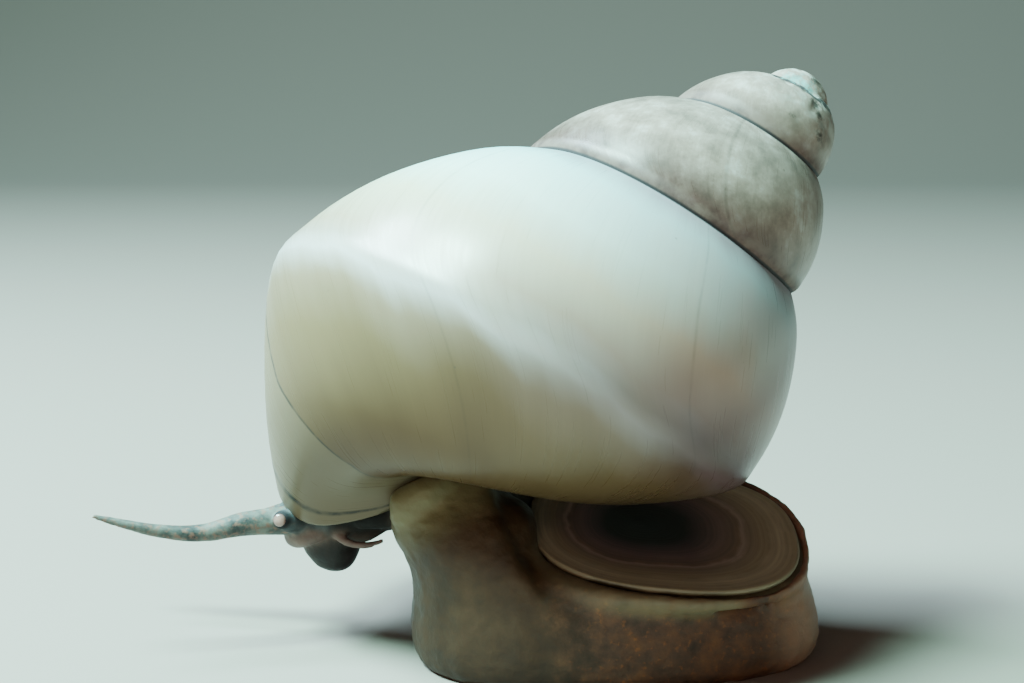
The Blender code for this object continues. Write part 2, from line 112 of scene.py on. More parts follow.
def newMaterial(name, roughness, **sockets):
    material = bpy.data.materials.new(name)
    material.use_nodes = True
    shader = material.node_tree.nodes["Principled BSDF"]
    shader.inputs["Roughness"].default_value = roughness
    for socket, value in sockets.items():
        shader.inputs[socket.replace("_", " ")].default_value = value
    return material, shader


def addNode(material, kind, settings=None, inputs=None, out=0, stops=None):
    # one node with its settings, values, links and ramp colours; gives back one output
    node = material.node_tree.nodes.new("ShaderNode" + kind)
    for key, value in (settings or {}).items():
        setattr(node, key, value)
    for key, value in (inputs or {}).items():
        if isinstance(value, bpy.types.NodeSocket):
            material.node_tree.links.new(value, node.inputs[key])
        elif isinstance(value, str):
            node.inputs[key].default_value = linear(value)
        else:
            node.inputs[key].default_value = value
    if stops:
        elements = node.color_ramp.elements
        while len(elements) < len(stops):
            elements.new(0.5)
        for element, (place, colour) in zip(elements, stops):
            element.position = place
            element.color = linear(colour)
    return node.outputs[out]


def wire(material, source, shader, socket):
    material.node_tree.links.new(source, shader.inputs[socket])


def dress(obj, material):
    obj.data.materials.clear()
    obj.data.materials.append(material)


# settings that many nodes share
mixed = {"data_type": "RGBA"}
darkened = {"data_type": "RGBA", "blend_type": "MULTIPLY"}
overlaid = {"data_type": "RGBA", "blend_type": "OVERLAY"}
softly = {"interpolation_type": "SMOOTHSTEP"}
times = {"operation": "MULTIPLY"}
timesPlus = {"operation": "MULTIPLY_ADD"}


print("shell")
shellSizes = {
    "pole": (20.1, 7.4, 45.6), "rise": 45.3, "swing": 18.6, "roll": 160.4,
    "turnRatio": 1.76,                  # size from one turn to the next
    "band": 2.0, "bands": 562, "stations": 72,
    "bulge": 1.1,                       # the whorl before the last is fuller
    "bulgeRise": (-270, 120), "bulgeFall": (-720, 140),     # degrees: where that starts and ends, its ramps
    "covered": -258,                    # from this angle back, a younger whorl lies beside
    "farGap": 5.0,                      # stands for no neighbour
    "wall": 0.95, "liningBands": 30, "rimRound": 0.33,
    "worn": (-985, -1100), "apexRadius": 2.8, "apexSink": 0.15, "apexDepth": 7.2,
    "wearReach": (2.7, 6.6),            # from the tip's middle, where the wear is full and where it ends
    "wearAge": -500,                    # only older growth is worn
    "pits": (0.9, 0.14), "grit": (0.35, 0.02),              # size and depth of the marks of wear
    "pillarDepth": 38, "pillarRadius": 2.6, "pillarTip": 0.6,
}
# distance from the axis, distance from the pole, angle where the lip ends there
whorlOutline = [
    (4.3, 35.6, 45), (6.8, 27.1, 75), (8.5, 22.1, 98), (11.3, 23.0, 108), (15.3, 26.4, 103),
    (18.85, 32.3, 95), (20.5, 38.2, 84), (20.0, 42.3, 68), (13.8, 49.0, 46.5), (8.5, 51.8, 34.5),
    (4.6, 50.6, 31), (1.4, 45.6, 25),
]
shellPlace = (Matrix.Translation(Vector(shellSizes["pole"]) * mm)
              @ Matrix.Rotation(math.radians(shellSizes["swing"]), 4, "Z")
              @ Matrix.Rotation(math.radians(90 - shellSizes["rise"]), 4, "Y")
              @ Matrix.Rotation(math.radians(shellSizes["roll"]), 4, "Z"))


def outlinePoints():
    rows = [Vector(row) for row in whorlOutline]
    count = len(rows)
    between = shellSizes["stations"] // count
    points = []
    for i in range(count):
        a, b, c, d = (rows[(i + k - 1) % count] for k in range(4))
        for step in range(between):
            t = step / between
            points.append(0.5 * (2 * b + (c - a) * t + (2 * a - 5 * b + 4 * c - d) * t ** 2
                                 + (3 * b - a - 3 * c + d) * t ** 3))
    outward = []
    for i, point in enumerate(points):
        along = points[(i + 1) % len(points)] - points[i - 1]
        outward.append(Vector((along.y, -along.x)).normalized())
    return points, outward


stationPoints, stationOut = outlinePoints()
widest = max(row[0] for row in whorlOutline)
sutureRow = whorlOutline[3][0]


def fuller(angle, point):
    # how far the whorl before the last stands out, in mm at full size
    start, rise = shellSizes["bulgeRise"]
    end, fall = shellSizes["bulgeFall"]
    early = min(1.0, max(0.0, (start - angle) / rise)) * min(1.0, max(0.0, (angle - end) / fall))
    return shellSizes["bulge"] * early * max(0.0, (point.x - sutureRow) / (widest - sutureRow))


def gapTable(angle, turns):
    # from each point of the outline to the outline that many turns on, below 0 inside it
    scale = shellSizes["turnRatio"] ** turns
    other = [Vector((point.x + fuller(angle + 360 * turns, point), point.y)) * scale
             for point in stationPoints]
    gaps = []
    for point in stationPoints[:shellSizes["stations"] * 2 // 3]:
        place = Vector((point.x + fuller(angle, point), point.y))
        best, sign = 99.0, 1
        for a, b, out in zip(other, other[1:] + other[:1], stationOut):
            t = max(0.0, min(1.0, (place - a).dot(b - a) / (b - a).length_squared))
            away = place - a.lerp(b, t)
            if away.length < best:
                best, sign = away.length, 1 if away.dot(out) > 0 else -1
        gaps.append(best * sign)
    return gaps


gapAngles = range(-1140, 121, 90)
gapTables = {(angle, turns): gapTable(angle, turns) for angle in gapAngles for turns in (-1, 1)}


def gapAt(station, angle, turns):
    low = gapAngles[0] + int(angle - gapAngles[0]) // 90 * 90
    share = (angle - low) / 90
    return (gapTables[low, turns][station] * (1 - share)
            + gapTables[min(low + 90, gapAngles[-1]), turns][station] * share)


def lipLine(inset):
    line = []
    for point, out in zip(stationPoints, stationOut):
        size = shellSizes["turnRatio"] ** (point.z / 360)
        radius = point.x * size - out.x * inset
        depth = point.y * size - out.y * inset
        turn = math.radians(point.z)
        line.append(Vector((radius * math.cos(turn), -radius * math.sin(turn), -depth)) * mm)
    return line


def coil(name, inset, bands):
    # the lip's outline, drawn back round the axis and shrunk a little at each band
    looseStart()
    line = lipLine(inset)
    bpy.ops.mesh.primitive_circle_add(vertices=len(line), radius=0.01, fill_type="NOTHING")
    tube = bpy.context.object
    tube.name = name
    for vertex, place in zip(tube.data.vertices, line):
        vertex.co = place
    tube.data.attributes.new("station", "INT", "POINT")
    tube.data.attributes["station"].data.foreach_set("value", range(len(line)))
    shrink = shellSizes["turnRatio"] ** (-shellSizes["band"] / 360)
    editMode("SELECT")
    bpy.ops.mesh.extrude_edges_move()
    bpy.ops.transform.resize(value=(shrink,) * 3, center_override=(0, 0, 0))
    bpy.ops.transform.rotate(value=-math.radians(shellSizes["band"]), orient_axis="Z",
                             center_override=(0, 0, 0))
    objectMode()
    bpy.ops.object.empty_add(rotation=(0, 0, math.radians(shellSizes["band"])))
    step = bpy.context.object
    step.scale = (shrink,) * 3
    modify(tube, "ARRAY", count=bands, use_relative_offset=False, use_object_offset=True,
           offset_object=step, use_merge_vertices=True, merge_threshold=0.003 * mm)
    bpy.data.objects.remove(step)
    stations = readValues(tube, "station")
    lipReach = [place.length for place in line]
    ages = [360 * math.log(vertex.co.length / lipReach[station]) / math.log(shellSizes["turnRatio"])
            for vertex, station in zip(tube.data.vertices, stations)]
    crevices = []
    for station, age in zip(stations, ages):
        angle = max(gapAngles[0], age + stationPoints[station].z)
        if inset or station >= len(gapTables[gapAngles[0], 1]):
            crevices.append(shellSizes["farGap"])
            continue
        gap = gapAt(station, angle, -1)
        if angle < shellSizes["covered"]:
            gap = min(gap, gapAt(station, angle, 1))
        crevices.append(gap * shellSizes["turnRatio"] ** (angle / 360))
    writeValues(tube, "age", ages)
    writeValues(tube, "around", [station / len(line) for station in stations])
    writeValues(tube, "crevice", crevices)
    writeValues(tube, "inner", [1.0 if inset else 0.0] * len(ages))
    return tube


outer = coil("spiralShell", 0.0, shellSizes["bands"])
lining = coil("shellLining", shellSizes["wall"], shellSizes["liningBands"])

# the whorl before the last is fuller, and the oldest melts into the worn tip
tipCentre = Vector((0, 0, -shellSizes["apexDepth"])) * mm
for vertex, station, age in zip(outer.data.vertices, readValues(outer, "station"), readValues(outer, "age")):
    point = stationPoints[station]
    angle = age + point.z
    vertex.co.x *= 1 + fuller(angle, point) / point.x
    vertex.co.y *= 1 + fuller(angle, point) / point.x
    worn = 1 - ease(angle, shellSizes["worn"][1], shellSizes["worn"][0])
    if worn:
        away = (vertex.co - tipCentre).normalized()
        ball = tipCentre + away * (shellSizes["apexRadius"] - shellSizes["apexSink"]) * mm
        vertex.co = vertex.co.lerp(ball, worn)


def fillEnd(tube, lastAge):
    pick(tube)
    editMode("DESELECT")
    objectMode()
    for vertex, age in zip(tube.data.vertices, readValues(tube, "age")):
        vertex.select = age < lastAge + 0.5 * shellSizes["band"]
    editMode()
    bpy.ops.mesh.edge_face_add()
    bpy.ops.mesh.poke()
    objectMode()


fillEnd(outer, -shellSizes["band"] * shellSizes["bands"])
fillEnd(lining, -shellSizes["band"] * shellSizes["liningBands"])
shell = joinAs("spiralShell", [outer, lining])
editMode()
bpy.ops.mesh.select_mode(type="EDGE")
bpy.ops.mesh.select_all(action="DESELECT")
bpy.ops.mesh.select_non_manifold()
bpy.ops.mesh.bridge_edge_loops()
bpy.ops.mesh.select_all(action="SELECT")
bpy.ops.mesh.normals_make_consistent(inside=False)
bpy.ops.mesh.select_all(action="DESELECT")
objectMode()
# the two bands next to the lip make room for its rounding
rimAges = readValues(shell, "age")
for edge in shell.data.edges:
    first, second = (rimAges[k] for k in edge.vertices)
    edge.select = abs(first - second) < 0.5 and -2.2 * shellSizes["band"] < first < -0.5 * shellSizes["band"]
editMode()
bpy.ops.mesh.dissolve_edges(use_verts=True)
bpy.ops.mesh.select_all(action="DESELECT")
objectMode()
# round both edges of the lip, which run along it and not across its wall
rimAges, rimStations = readValues(shell, "age"), readValues(shell, "station")
for edge in shell.data.edges:
    first, second = edge.vertices
    edge.select = (min(rimAges[first], rimAges[second]) > -0.1
                   and rimStations[first] != rimStations[second])
editMode()
bpy.ops.mesh.bevel(offset=shellSizes["rimRound"] * mm, segments=3, affect="EDGES")
objectMode()


def fillValues(obj, **values):
    for name, value in values.items():
        writeValues(obj, name, [value] * len(obj.data.vertices))


looseStart()
bpy.ops.mesh.primitive_ico_sphere_add(subdivisions=6, radius=shellSizes["apexRadius"] * mm,
                                      location=tipCentre)
tip = settle(bpy.context.object)
fillValues(tip, age=-1110.0, around=0.42, crevice=shellSizes["farGap"], inner=0.0)
looseStart()
pillarLength = shellSizes["pillarDepth"] - shellSizes["apexDepth"]
pillarMiddle = (shellSizes["pillarDepth"] + shellSizes["apexDepth"]) / 2
bpy.ops.mesh.primitive_cone_add(vertices=48, radius1=shellSizes["pillarRadius"] * mm,
                                radius2=shellSizes["pillarTip"] * mm, depth=pillarLength * mm,
                                location=(0, 0, -pillarMiddle * mm))
pillar = settle(bpy.context.object)
fillValues(pillar, age=-40.0, around=0.9, crevice=shellSizes["farGap"], inner=1.0)
shell = joinAs("spiralShell", [shell, tip, pillar])

# the oldest part is eaten away by soft water, in shallow pits
pitSize, pitDepth = shellSizes["pits"]
gritSize, gritDepth = shellSizes["grit"]
wears = []
normals = [vertex.normal.copy() for vertex in shell.data.vertices]
for vertex, normal, age in zip(shell.data.vertices, normals, readValues(shell, "age")):
    away = (vertex.co - tipCentre).length / mm
    wear = 1 - ease(away, *shellSizes["wearReach"]) if age < shellSizes["wearAge"] else 0.0
    wears.append(wear)
    if wear:
        pit = ease(noise.noise(vertex.co / (pitSize * mm)), 0.05, 0.5)
        grit = noise.noise(vertex.co / (gritSize * mm))
        vertex.co += normal * wear * (gritDepth * grit - pitDepth * pit) * mm
writeValues(shell, "wear", wears)
shell.data.transform(shellPlace)
smooth(shell)
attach(shell, "root")
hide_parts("shell")
print("  shell faces", len(shell.data.polygons))


print("operculum")
lidSizes = {
    "centre": (5.8, 0.3, 8.75), "length": 20.9, "width": 19.6, "square": 0.8, "tilt": (13.8, 4.7),
    "nucleus": (-1.9, 1.2), "rings": 34, "thick": 0.6, "crest": 0.02, "dish": 0.5, "rimRound": 0.27,
}


def onRim(x, y, beyond=0.0):
    # a point of a unit circle put on the plate's rim, an oval with blunt ends
    return Vector((math.copysign(abs(x) ** lidSizes["square"], x) * (lidSizes["length"] / 2 + beyond) * mm,
                   math.copysign(abs(y) ** lidSizes["square"], y) * (lidSizes["width"] / 2 + beyond) * mm))


def makeOperculum():
    looseStart()
    bpy.ops.mesh.primitive_circle_add(vertices=128, radius=1.0, fill_type="NGON")
    plate = bpy.context.object
    for vertex in plate.data.vertices:
        vertex.co.xy = onRim(vertex.co.x, vertex.co.y)
    rings = lidSizes["rings"]
    nucleus = Vector((*lidSizes["nucleus"], 0)) * mm
    editMode("SELECT")
    # growth rings, drawn in one after another towards the nucleus
    for ring in range(rings):
        left = (rings - ring - 0.6) / (rings - ring + 0.4)
        bpy.ops.mesh.extrude_region_move()
        bpy.ops.transform.resize(value=(left, left, 1), center_override=nucleus)
        rise = lidSizes["crest"] * (1 if ring % 2 else -1) - lidSizes["dish"] / rings
        bpy.ops.transform.translate(value=(0, 0, rise * mm))
    bpy.ops.mesh.poke()
    bpy.ops.mesh.select_all(action="SELECT")
    bpy.ops.mesh.normals_make_consistent(inside=False)
    objectMode()
    return plate


def ringShare(place):
    # 0 at the nucleus, 1 at the rim, along the line between them
    nucleus = Vector(lidSizes["nucleus"]) * mm
    offset = place.xy - nucleus
    if offset.length < 1e-9:
        return 0.0
    low, high = 0.0, lidSizes["length"] * mm
    for halving in range(24):
        middle = (low + high) / 2
        spot = nucleus + offset.normalized() * middle
        power = 2 / lidSizes["square"]
        inside = (abs(2 * spot.x / lidSizes["length"] / mm) ** power
                  + abs(2 * spot.y / lidSizes["width"] / mm) ** power) < 1
        low, high = (middle, high) if inside else (low, middle)
    return offset.length / low


operculum = makeOperculum()
writeValues(operculum, "ring", [ringShare(v.co) for v in operculum.data.vertices])
modify(operculum, "SOLIDIFY", thickness=lidSizes["thick"] * mm, offset=-1.0)
modify(operculum, "BEVEL", width=lidSizes["rimRound"] * mm, segments=3, limit_method="ANGLE",
       angle_limit=math.radians(50))
lidPlace = (Matrix.Translation(Vector(lidSizes["centre"]) * mm)
            @ Matrix.Rotation(math.radians(lidSizes["tilt"][1]), 4, "Y")
            @ Matrix.Rotation(math.radians(lidSizes["tilt"][0]), 4, "X"))
operculum.data.transform(lidPlace @ Matrix.Translation((0, 0, lidSizes["thick"] / 2 * mm)))
operculum.name = operculum.data.name = "operculumPlate"
smooth(operculum)
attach(operculum, "root")
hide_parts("operculum")


print("soft body")
bodySizes = {
    "swell": 0.24,              # closes the thin cuts between the parts of the body
    "firstVoxel": 0.26, "smoothRounds": 6, "plump": 0.1, "lastVoxel": 0.19, "keep": 0.55,
    "collar": (0.95, 0.6), "collarOut": 0.4, "collarRise": 0.12,    # half width and height, and place
    "collarTail": 0.75,         # this much narrower at the tail's end
    "throat": ([(-18.2, -1.4, 8.35), (-16.6, -1.4, 8.95), (-14.6, -1.2, 9.9)], [1.0, 1.15, 0.9]),
    # lumps that fill the hollow beside the trunk: middle, then half length, width and height
    "shoulders": ((-6.4, -3.6, 9.4, 2.6, 3.0, 2.2), (-5.8, -2.2, 10.3, 2.1, 3.2, 2.0)),
    # softened further beside the operculum and before it, from where to where along z, x and y
    "corner": {"rounds": 60, "up": (6.5, 8.5), "rise": (-11.5, -8.5), "fall": (-2.0, 0.5)},
    "ledge": {"rounds": 40, "up": (2.5, 4.5), "down": (8.0, 9.0), "rise": (-5.0, -2.0), "near": (-3.0, 0.0)},
    "wrinkle": 0.055, "wrinkleLong": 2.6, "wrinkleShort": 0.8,
    "fold": ((-14.0, -4.2, 12.6), (-12.0, -4.6, 13.4), (-10.0, -3.9, 14.4)), "foldReach": (1.6, 5.0),
    # the pale flesh is partly painted light that lifts the shadow under the plate's rim
    "lobe": 0.8, "lobeReach": (0.4, 1.7), "lobeStart": -6,      # the pale flesh along the plate's near edge
    "mouth": ((-20.6, 4.1, 7.6), (-19.9, 4.1, 6.2)),
    "mouthDeep": 0.3, "mouthWide": 0.24, "mouthLong": 0.9,
    "zoneBlend": 0.22,          # how softly the kinds of skin run into each other
}
coarseNodes = ["foot_front", "foot_middle", "foot_tail", "trunk", "neck", "head", "mantle", "snout"]
headMiddle = 4.1
eyeSizes = {"centre": (-22.75, 4.45, 10.2), "radius": 0.5, "flat": 0.68, "ring": (0.62, 1.05)}
leftLines = {
    "tentacle": ([(-20.2, 1.6, 9.6), (-22.7, 2.2, 9.6), (-25.5, 3.2, 9.6), (-28.7, 4.0, 9.1),
                  (-31.6, 4.6, 9.4), (-34.3, 5.1, 10.1), (-36.3, 5.4, 10.7)],
                 [1.2, 1.1, 0.92, 0.66, 0.52, 0.36, 0.2]),
    "eyestalk": ([(-20.6, 1.9, 9.5), (-22.0, 3.1, 9.85), (-22.6, 3.95, 10.1)], [1.15, 0.98, 0.74]),
    "palp": ([(-19.3, 1.6, 9.4), (-18.5, 2.9, 8.5), (-17.6, 3.2, 8.1), (-16.5, 3.2, 7.95),
              (-15.3, 3.0, 8.2)], [0.5, 0.34, 0.30, 0.27, 0.2]),
    "lobe": ([(-12.8, 3.1, 10.7), (-14.8, 3.4, 10.3), (-16.7, 3.2, 9.9)], [0.8, 1.0, 0.7]),
}
rightTentacle = [(-20.2, 1.6, 9.6), (-22.8, 2.3, 8.9), (-25.2, 3.1, 8.15), (-28.5, 3.9, 7.35),
                 (-31.3, 4.5, 7.0), (-33.7, 4.9, 7.15), (-35.5, 5.1, 7.43)]


def taper(name, points, radii, side):
    # a soft tube along a smooth line, with a round end
    looseStart()
    bpy.ops.curve.primitive_bezier_curve_add()
    line = bpy.context.object
    line.name = name
    line.data.dimensions = "3D"
    line.data.bevel_depth = mm
    line.data.bevel_resolution = 6
    line.data.resolution_u = 12
    line.data.use_fill_caps = True
    spline = line.data.splines[0]
    spline.bezier_points.add(len(points) - 2)
    for knot, (x, out, z), radius in zip(spline.bezier_points, points, radii):
        knot.co = Vector((x, headMiddle + side * out, z)) * mm
        knot.radius = radius
        knot.handle_left_type = knot.handle_right_type = "AUTO"
    bpy.ops.object.convert(target="MESH")
    tube = settle(bpy.context.object)
    pick(tube)
    editMode("SELECT")
    bpy.ops.mesh.remove_doubles(threshold=0.002 * mm)
    bpy.ops.mesh.normals_make_consistent(inside=False)
    objectMode()
    looseStart()
    end = Vector((points[-1][0], headMiddle + side * points[-1][1], points[-1][2])) * mm
    bpy.ops.mesh.primitive_uv_sphere_add(segments=20, ring_count=12, radius=radii[-1] * mm, location=end)
    return joinAs(name, [tube, settle(bpy.context.object)])


def copyOfNode(name):
    copy = cadNodes[name].copy()
    copy.data = cadNodes[name].data.copy()
    copy.name = name + "Copy"
    copy.parent = None
    bpy.context.scene.collection.objects.link(copy)
    return copy


def collarRing():
    # a low cushion of flesh that closes the gap round the operculum
    looseStart()
    bpy.ops.mesh.primitive_torus_add(major_segments=120, minor_segments=16, major_radius=1.0,
                                     minor_radius=0.5)
    ring = bpy.context.object
    ring.name = "collarRing"
    wide, high = bodySizes["collar"]
    for vertex in ring.data.vertices:
        around = Vector((vertex.co.x, vertex.co.y)).normalized()
        reach = vertex.co.xy.length - 1.0
        height = vertex.co.z
        slim = 1 - bodySizes["collarTail"] * ease(around.x - 0.4 * around.y, -0.4, 0.9)
        vertex.co.xy = onRim(around.x, around.y, slim * (bodySizes["collarOut"] + 2 * wide * reach))
        vertex.co.z = (2 * high * height + bodySizes["collarRise"]) * mm
    ring.data.transform(lidPlace)
    return ring


def shoulder(x, y, z, wide, deep, high):
    # the foot's top rises here into the body, between the trunk and the operculum
    looseStart()
    bpy.ops.mesh.primitive_ico_sphere_add(subdivisions=4, radius=mm)
    lump = bpy.context.object
    lump.scale = (wide, deep, high)
    lump.location = Vector((x, y, z)) * mm
    return settle(lump)


coarse = joinAs("softBody", [copyOfNode(name) for name in coarseNodes] + [collarRing()]
                + [shoulder(*lump) for lump in bodySizes["shoulders"]])
editMode("SELECT")
bpy.ops.mesh.remove_doubles(threshold=0.001 * mm)
objectMode()
modify(coarse, "DISPLACE", strength=bodySizes["swell"] * mm, mid_level=0.0)
modify(coarse, "REMESH", mode="VOXEL", voxel_size=bodySizes["firstVoxel"] * mm)
modify(coarse, "SMOOTH", factor=0.5, iterations=bodySizes["smoothRounds"])
modify(coarse, "DISPLACE", strength=-bodySizes["swell"] * mm, mid_level=0.0)
modify(coarse, "SMOOTH", factor=0.5, iterations=bodySizes["smoothRounds"])
corner, ledge = bodySizes["corner"], bodySizes["ledge"]
groups = [coarse.vertex_groups.new(name=name) for name in ("corner", "ledge")]
for vertex in coarse.data.vertices:
    x, y, z = vertex.co / mm
    weights = (ease(z, *corner["up"]) * ease(x, *corner["rise"]) * (1 - ease(x, *corner["fall"])),
               ease(z, *ledge["up"]) * (1 - ease(z, *ledge["down"])) * ease(x, *ledge["rise"])
               * (1 - ease(y, *ledge["near"])))
    for group, weight in zip(groups, weights):
        if weight:
            group.add([vertex.index], weight, "REPLACE")
for name in ("corner", "ledge"):
    modify(coarse, "SMOOTH", factor=0.5, iterations=bodySizes[name]["rounds"], vertex_group=name)
coarse.vertex_groups.clear()
modify(coarse, "DISPLACE", strength=bodySizes["plump"] * mm, mid_level=0.0)
print("  first skin", len(coarse.data.polygons))
fine = [coarse]
for side, word in ((-1, "Left"), (1, "Right")):
    for part, (points, radii) in leftLines.items():
        if part == "tentacle" and side > 0:
            points = rightTentacle
        fine.append(taper(part + word, points, radii, side))
fine.append(taper("throat", *bodySizes["throat"], 1))
lipHalf = [(-19.7, 2.5, 8.8), (-21.2, 2.3, 8.4), (-22.0, 0.0, 8.1)]
lipPoints = [(x, -out, z) for x, out, z in lipHalf[:2]] + [lipHalf[2]] + list(reversed(lipHalf[:2]))
fine.append(taper("upperLip", lipPoints, [0.6, 0.85, 0.95, 0.85, 0.6], 1))
body = joinAs("softBody", fine)
modify(body, "REMESH", mode="VOXEL", voxel_size=bodySizes["lastVoxel"] * mm)
modify(body, "SMOOTH", factor=0.5, iterations=2)
print("  skin", len(body.data.polygons))
modify(body, "DECIMATE", ratio=bodySizes["keep"])

# how much of each kind of skin a point has, from the parts of the body nearest to it
zoneNodes = {
    "snoutShare": ["snout"],
    "pinkShare": ["upper_lip", "labial_palp_left", "labial_palp_right"],
    "greyShare": ["head", "neck", "mantle", "eyestalk_left", "eyestalk_right", "nuchal_lobe_left",
                  "nuchal_lobe_right"],
    "tentacleShare": [name for name in cadNodes if name.startswith("tentacle")],
    "footShare": ["trunk", "foot_front", "foot_middle", "foot_tail"],
}
zoneTrees = {}
for zone, names in zoneNodes.items():
    spots, faces = [], []
    for name in names:
        start = len(spots)
        spots += [v.co.copy() for v in cadNodes[name].data.vertices]
        faces += [[start + k for k in face.vertices] for face in cadNodes[name].data.polygons]
    zoneTrees[zone] = bvhtree.BVHTree.FromPolygons(spots, faces)
zoneValues = {zone: [] for zone in zoneNodes}
for vertex in body.data.vertices:
    near = {zone: math.exp(-tree.find_nearest(vertex.co)[3] / (bodySizes["zoneBlend"] * mm))
            for zone, tree in zoneTrees.items()}
    total = sum(near.values())
    for zone, value in near.items():
        zoneValues[zone].append(value / total)
for zone, values in zoneValues.items():
    writeValues(body, zone, values)

# soft folds of the skin, and the mouth, a short upright slit under the front of the snout
mouthTop, mouthFoot = (Vector(end) * mm for end in bodySizes["mouth"])
normals = [vertex.normal.copy() for vertex in body.data.vertices]
mouthShare = []
for vertex, normal, foot, snout in zip(body.data.vertices, normals, zoneValues["footShare"],
                                       zoneValues["snoutShare"]):
    place = vertex.co / mm
    long = noise.noise(Vector((place.x, place.y, place.z * 0.6)) / bodySizes["wrinkleLong"])
    short = noise.noise(Vector((place.x, place.y, place.z * 1.6)) / bodySizes["wrinkleShort"])
    move = bodySizes["wrinkle"] * (foot * (2.2 * long + 1.0 * short) + (1 - foot) * 0.35 * short)
    along = mouthFoot - mouthTop
    t = max(0.0, min(1.0, (vertex.co - mouthTop).dot(along) / along.length_squared))
    aside = (vertex.co - mouthTop - along * t)
    slit = snout * math.exp(-(aside.y / mm / bodySizes["mouthWide"]) ** 2
                            - (aside.length / mm / bodySizes["mouthLong"]) ** 4)
    mouthShare.append(slit)
    vertex.co += normal * (move - bodySizes["mouthDeep"] * slit) * mm
    vertex.co.z = max(vertex.co.z, 0.0)
writeValues(body, "mouth", mouthShare)
# khaki where the mantle's fold lies round the end of the lip, paler flesh along the operculum's near edge,
# partly painted light that lifts the shadow under its rim, and a dark ring round each eye
foldLine = [Vector(end) * mm for end in bodySizes["fold"]]
lidEdge = []
for angle in range(180, 292, 4):
    spot = onRim(math.cos(math.radians(angle)), math.sin(math.radians(angle)))
    lidEdge.append(lidPlace @ Vector((spot.x, spot.y, 0)))
khakiShare, eyeRing, lobeLightShare = [], [], []
x, out, z = eyeSizes["centre"]
for vertex in body.data.vertices:
    lobe = 0.0
    if vertex.co.x > bodySizes["lobeStart"] * mm:
        reach = min((vertex.co - spot).length for spot in lidEdge)
        lobe = bodySizes["lobe"] - bodySizes["lobe"] * ease(reach / mm, *bodySizes["lobeReach"])
    lobeLightShare.append(lobe)
    reach = min((vertex.co - spot).length for spot in foldLine)
    khakiShare.append(1 - ease(reach / mm, *bodySizes["foldReach"]))
    beside = Vector((vertex.co.x - x * mm, abs(vertex.co.y - headMiddle * mm) - out * mm,
                     vertex.co.z - z * mm))
    eyeRing.append(1 - ease(beside.length / mm, *eyeSizes["ring"]))
writeValues(body, "khakiShare", khakiShare)
writeValues(body, "eyeRing", eyeRing)
writeValues(body, "lobeLightShare", lobeLightShare)
smooth(body)
print("  skin kept", len(body.data.polygons))
softNodes = [name for name in cadNodes if name not in ("shell", "operculum", "eye_left", "eye_right")]
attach(body, "root")
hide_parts(*softNodes)


print("eyes")
eyes = []
for side, word in ((-1, "Left"), (1, "Right")):
    looseStart()
    x, out, z = eyeSizes["centre"]
    bpy.ops.mesh.primitive_uv_sphere_add(segments=48, ring_count=32, radius=eyeSizes["radius"] * mm)
    eye = bpy.context.object
    eye.name = eye.data.name = "eye" + word
    bpy.ops.transform.rotate(value=math.radians(90), orient_axis="X", center_override=(0, 0, 0))
    eye.location = Vector((x, headMiddle + side * out, z)) * mm
    eye.scale = (1, 1, eyeSizes["flat"])
    settle(eye)
    smooth(eye)
    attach(eye, "root")
    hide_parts("eye_" + word.lower())
    eyes.append(eye)


print("shell material")
# Snail shell: grown carbonate of lime under a thin horny skin, half glossy. Ivory above and olive khaki
# underneath, with painted light and shade in its colour, fine lines of growth across the whorls and a bare,
# chalky, pitted tip.
shellMarks = {
    "lineSpacing": 1.3, "cloudSpacing": 16.0,       # degrees of growth, 0.35 mm to a degree at the lip
    "grain": 1.1, "mottle": 2.4, "crumble": 0.45,   # mm
    "tailAges": (-100.0, -215.0), "spireAges": (-290.0, -400.0),    # degrees before the lip
    "paintedShadeSide": (-0.0034, 1.165, 1.24),              # lean with age, and where its shade starts and is full
    "restAge": -54.0, "rimAge": -12.5,              # degrees before the lip, at the two dark lines
    "restLean": 16.0,                               # the resting line leans this much towards the base
    "stainReach": 2.2, "seamReach": (0.26, 0.08),   # mm from where two whorls meet
    "speckSpacing": 2.3, "speckSize": 0.1,          # mm
    # middle and reach in mm of the marks on the tip
    "chalkAndGlint": [((15.3, 3.95, 42.45), 0.7), ((16.1, 3.75, 42.05), 0.75)],
    "dark": [((17.0, 4.75, 42.45), 0.65), ((16.73, 2.35, 40.7), 0.5), ((16.9, 1.85, 40.0), 0.42),
             ((16.93, 1.33, 38.5), 0.36), ((14.7, 0.2, 40.1), 0.22), ((14.4, 2.9, 42.6), 0.3)],
}
look, shader = newMaterial("Snail shell, grown lime under a thin horny skin", 0.34)
age, around, crevice, inner, wear = (addNode(look, "Attribute", {"attribute_name": name}, out="Fac")
                                     for name in ("age", "around", "crevice", "inner", "wear"))
place = addNode(look, "TexCoord", out="Object")
# fine lines of growth, and broad clouds along them
lines, clouds = (addNode(look, "TexNoise", inputs={"Scale": 1.0, "Detail": 2.0, "Vector": addNode(
    look, "CombineXYZ", inputs={"X": addNode(look, "Math", {"operation": "DIVIDE"}, {0: age, 1: spacing}),
                                "Y": addNode(look, "Math", times, {0: around, 1: stretch})})})
    for spacing, stretch in ((shellMarks["lineSpacing"], 9.0), (shellMarks["cloudSpacing"], 7.0)))
grain, mottle, crumble = (addNode(look, "TexNoise", inputs={
    "Vector": place, "Scale": 1 / (shellMarks[name] * mm), "Detail": detail, "Roughness": rough})
    for name, detail, rough in (("grain", 4.0, 0.5), ("mottle", 5.0, 0.65), ("crumble", 4.0, 0.7)))
